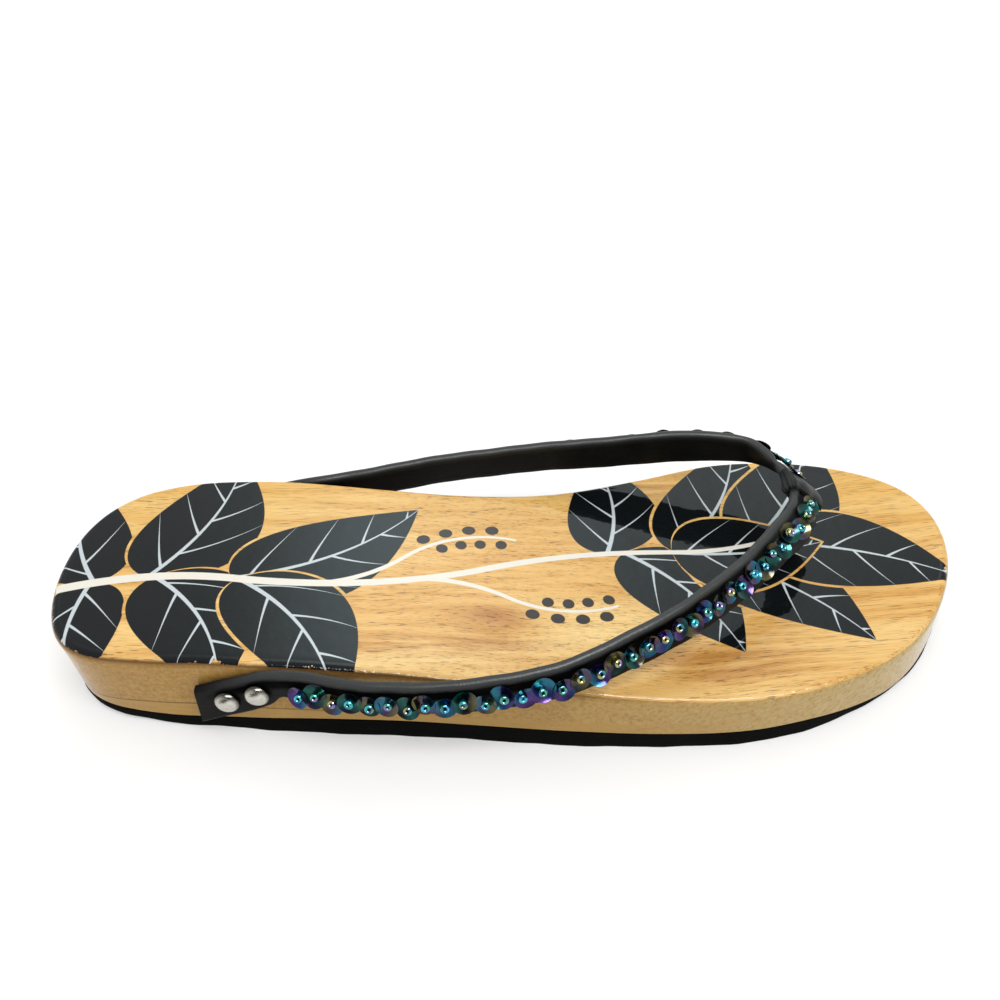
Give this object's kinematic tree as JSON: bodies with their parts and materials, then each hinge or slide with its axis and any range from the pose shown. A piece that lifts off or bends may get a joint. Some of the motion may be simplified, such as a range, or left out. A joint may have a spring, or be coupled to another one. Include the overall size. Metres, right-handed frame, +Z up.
{
  "type": "wooden flip-flop",
  "caption": "Right flip-flop with a lacquered wooden wedge sole on a rubber outsole, and a beaded band nailed to the side walls and looped round a toe post.",
  "frame": {"origin": "middle of the shoe's box at floor level", "axes": "+X from heel to toe, +Y to the medial (big toe) side, +Z up"},
  "size_m": [0.249, 0.1008, 0.0398],
  "materials": {
    "black_rubber": "matt",
    "lacquered_wood": "gloss lacquer",
    "black_leather": "satin",
    "bright_steel": "polished",
    "iris_beads": "iridescent"
  },
  "bodies": {
    "root": {"outsole": "black_rubber", "wooden_sole": "lacquered_wood", "strap": "black_leather", "toe_post": "black_leather", "nail_lateral_rear": "bright_steel", "nail_lateral_front": "bright_steel", "nail_medial_rear": "bright_steel", "nail_medial_front": "bright_steel", "bead_trim_lateral": "iris_beads", "bead_trim_medial": "iris_beads"}
  },
  "joints": []
}
